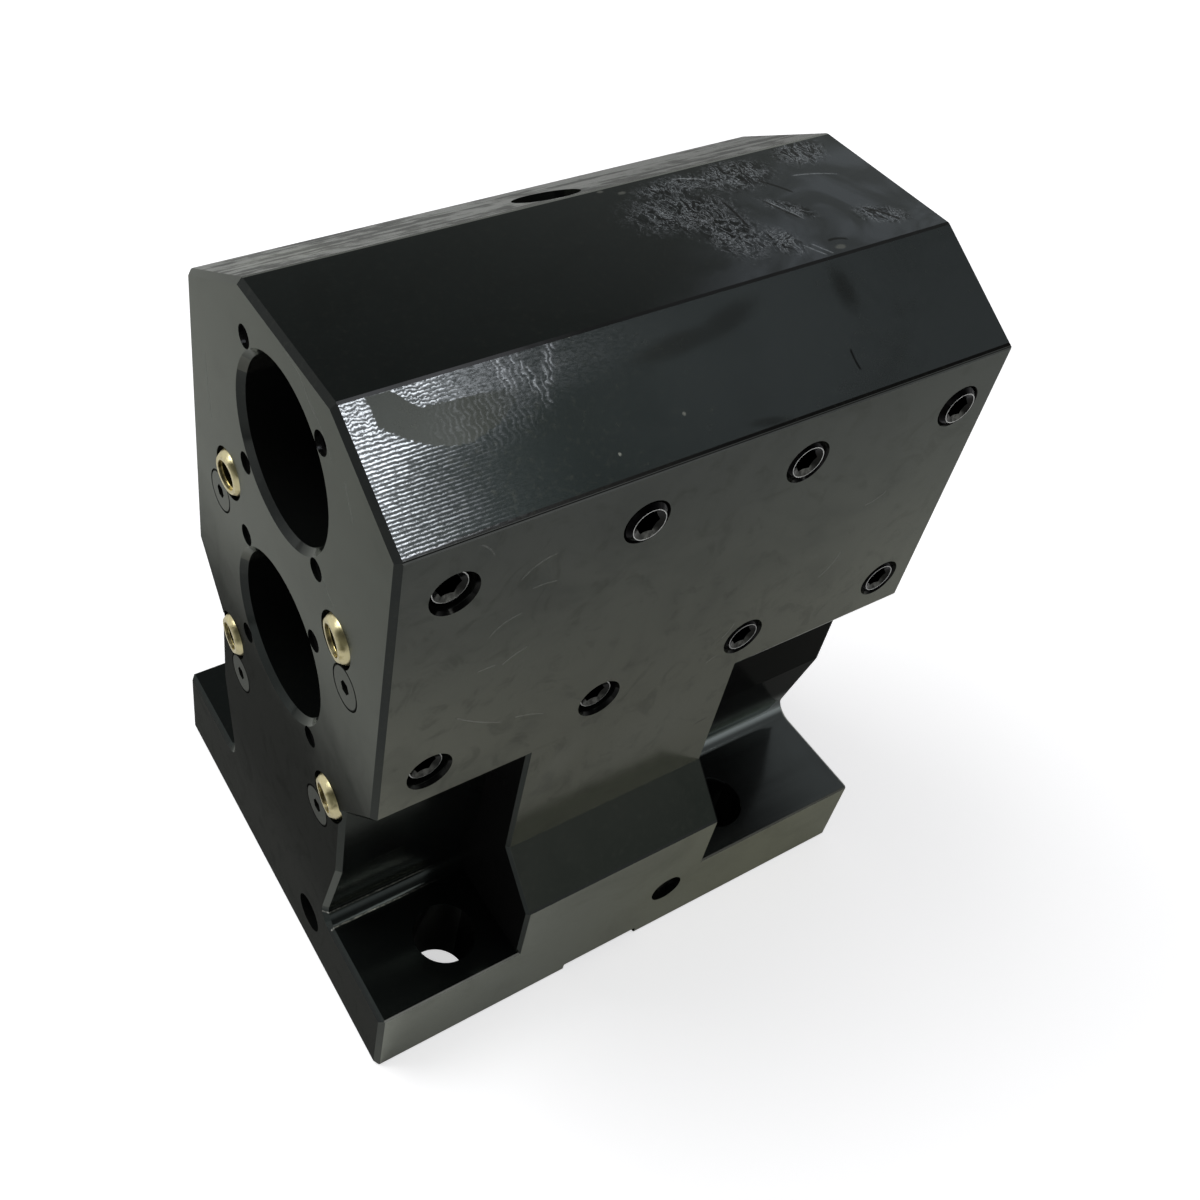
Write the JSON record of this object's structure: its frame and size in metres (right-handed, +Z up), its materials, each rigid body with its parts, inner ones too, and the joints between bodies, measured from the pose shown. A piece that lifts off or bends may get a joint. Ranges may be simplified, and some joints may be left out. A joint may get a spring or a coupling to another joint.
{
  "type": "turret tool holder",
  "caption": "Block-shaped tool holder for a lathe turret: through bores for boring bars, side clamp screws and aimed coolant nozzles, bolted down through its base.",
  "frame": {"origin": "centre of the four turret bolts, on the mounting face", "axes": "+X along the tool bores, away from the coolant nozzles; -Y towards the clamp screws; +Z up, away from the turret"},
  "size_m": [0.1231, 0.095, 0.153],
  "materials": {
    "holder_steel": "black oxide on ground and milled steel, oiled, satin",
    "screw_steel": "black oxide on steel, satin",
    "brass": "turned and polished",
    "seal_rubber": "matt"
  },
  "bodies": {
    "holder": {"holder_body": "holder_steel", "upper_front_nozzle_seal": "seal_rubber", "upper_front_lock_screw": "screw_steel", "upper_rear_nozzle_seal": "seal_rubber", "upper_rear_lock_screw": "screw_steel", "lower_front_nozzle_seal": "seal_rubber", "lower_front_lock_screw": "screw_steel", "lower_rear_nozzle_seal": "seal_rubber", "lower_rear_lock_screw": "screw_steel", "front_plug": "screw_steel", "end_plug": "screw_steel", "riser_plug": "screw_steel", "slope_plug": "screw_steel", "inlet_seal": "seal_rubber"},
    "upper_clamp_screw_1": {"upper_clamp_screw_1": "screw_steel"},
    "upper_clamp_screw_2": {"upper_clamp_screw_2": "screw_steel"},
    "upper_clamp_screw_3": {"upper_clamp_screw_3": "screw_steel"},
    "upper_clamp_screw_4": {"upper_clamp_screw_4": "screw_steel"},
    "lower_clamp_screw_1": {"lower_clamp_screw_1": "screw_steel"},
    "lower_clamp_screw_2": {"lower_clamp_screw_2": "screw_steel"},
    "lower_clamp_screw_3": {"lower_clamp_screw_3": "screw_steel"},
    "lower_clamp_screw_4": {"lower_clamp_screw_4": "screw_steel"},
    "upper_front_nozzle": {"upper_front_nozzle": "brass"},
    "upper_rear_nozzle": {"upper_rear_nozzle": "brass"},
    "lower_front_nozzle": {"lower_front_nozzle": "brass"},
    "lower_rear_nozzle": {"lower_rear_nozzle": "brass"}
  },
  "joints": [
    {"name": "upper_clamp_screw_1_travel", "type": "slide", "parent": "holder", "child": "upper_clamp_screw_1", "axis": [0, 1, 0], "range_m": [-0.0044, 0.0031]},
    {"name": "upper_clamp_screw_2_travel", "type": "slide", "parent": "holder", "child": "upper_clamp_screw_2", "axis": [0, 1, 0], "range_m": [-0.0023, 0.0052]},
    {"name": "upper_clamp_screw_3_travel", "type": "slide", "parent": "holder", "child": "upper_clamp_screw_3", "axis": [0, 1, 0], "range_m": [-0.0029, 0.0046]},
    {"name": "upper_clamp_screw_4_travel", "type": "slide", "parent": "holder", "child": "upper_clamp_screw_4", "axis": [0, 1, 0], "range_m": [-0.0024, 0.0051]},
    {"name": "lower_clamp_screw_1_travel", "type": "slide", "parent": "holder", "child": "lower_clamp_screw_1", "axis": [0, 1, 0], "range_m": [-0.0044, 0.0031]},
    {"name": "lower_clamp_screw_2_travel", "type": "slide", "parent": "holder", "child": "lower_clamp_screw_2", "axis": [0, 1, 0], "range_m": [-0.0042, 0.0033]},
    {"name": "lower_clamp_screw_3_travel", "type": "slide", "parent": "holder", "child": "lower_clamp_screw_3", "axis": [0, 1, 0], "range_m": [-0.003, 0.0045]},
    {"name": "lower_clamp_screw_4_travel", "type": "slide", "parent": "holder", "child": "lower_clamp_screw_4", "axis": [0, 1, 0], "range_m": [-0.003, 0.0045]},
    {"name": "upper_front_nozzle_tilt", "type": "hinge", "parent": "holder", "child": "upper_front_nozzle", "pos_m": [-0.0528, -0.0213, 0.1073], "axis": [0, 1, 0], "range_deg": [-16, 24]},
    {"name": "upper_rear_nozzle_tilt", "type": "hinge", "parent": "holder", "child": "upper_rear_nozzle", "pos_m": [-0.0528, 0.0213, 0.1073], "axis": [0, 1, 0], "range_deg": [-18, 22]},
    {"name": "lower_front_nozzle_tilt", "type": "hinge", "parent": "holder", "child": "lower_front_nozzle", "pos_m": [-0.0528, -0.0213, 0.0623], "axis": [0, 1, 0], "range_deg": [-15, 25]},
    {"name": "lower_rear_nozzle_tilt", "type": "hinge", "parent": "holder", "child": "lower_rear_nozzle", "pos_m": [-0.0528, 0.0213, 0.0623], "axis": [0, 1, 0], "range_deg": [-18, 22]}
  ]
}
